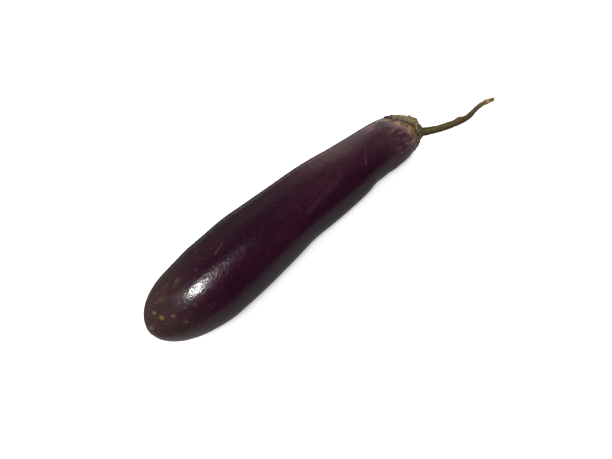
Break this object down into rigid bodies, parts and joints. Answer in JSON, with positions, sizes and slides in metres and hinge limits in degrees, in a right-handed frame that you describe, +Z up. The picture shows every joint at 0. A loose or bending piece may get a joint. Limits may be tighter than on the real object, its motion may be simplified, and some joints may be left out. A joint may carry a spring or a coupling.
{
  "type": "eggplant",
  "caption": "Long, slender purple eggplant lying on its side, gently curved, with a lobed calyx cap and a thin crooked stem.",
  "frame": {"origin": "middle of the underside of the whole part's bounding box, on the surface that the eggplant lies on", "axes": "+Z up, +X along the eggplant from the blossom end to the stem, +Y to the left of that"},
  "size_m": [0.3074, 0.0604, 0.0592],
  "materials": {
    "skin": "very dark purple waxy skin, satin gloss, fine pale scratches, yellow-green freckles at the blossom end and tan cork marks at the shoulder",
    "calyx": "olive-green to brown ribbed cap with dried brown lobe tips, matt",
    "stem": "olive-brown ridged woody stem, pale tan where it was torn off, matt"
  },
  "bodies": {
    "root": {"fruit": "skin", "calyx": "calyx", "stem": "stem"}
  },
  "joints": []
}
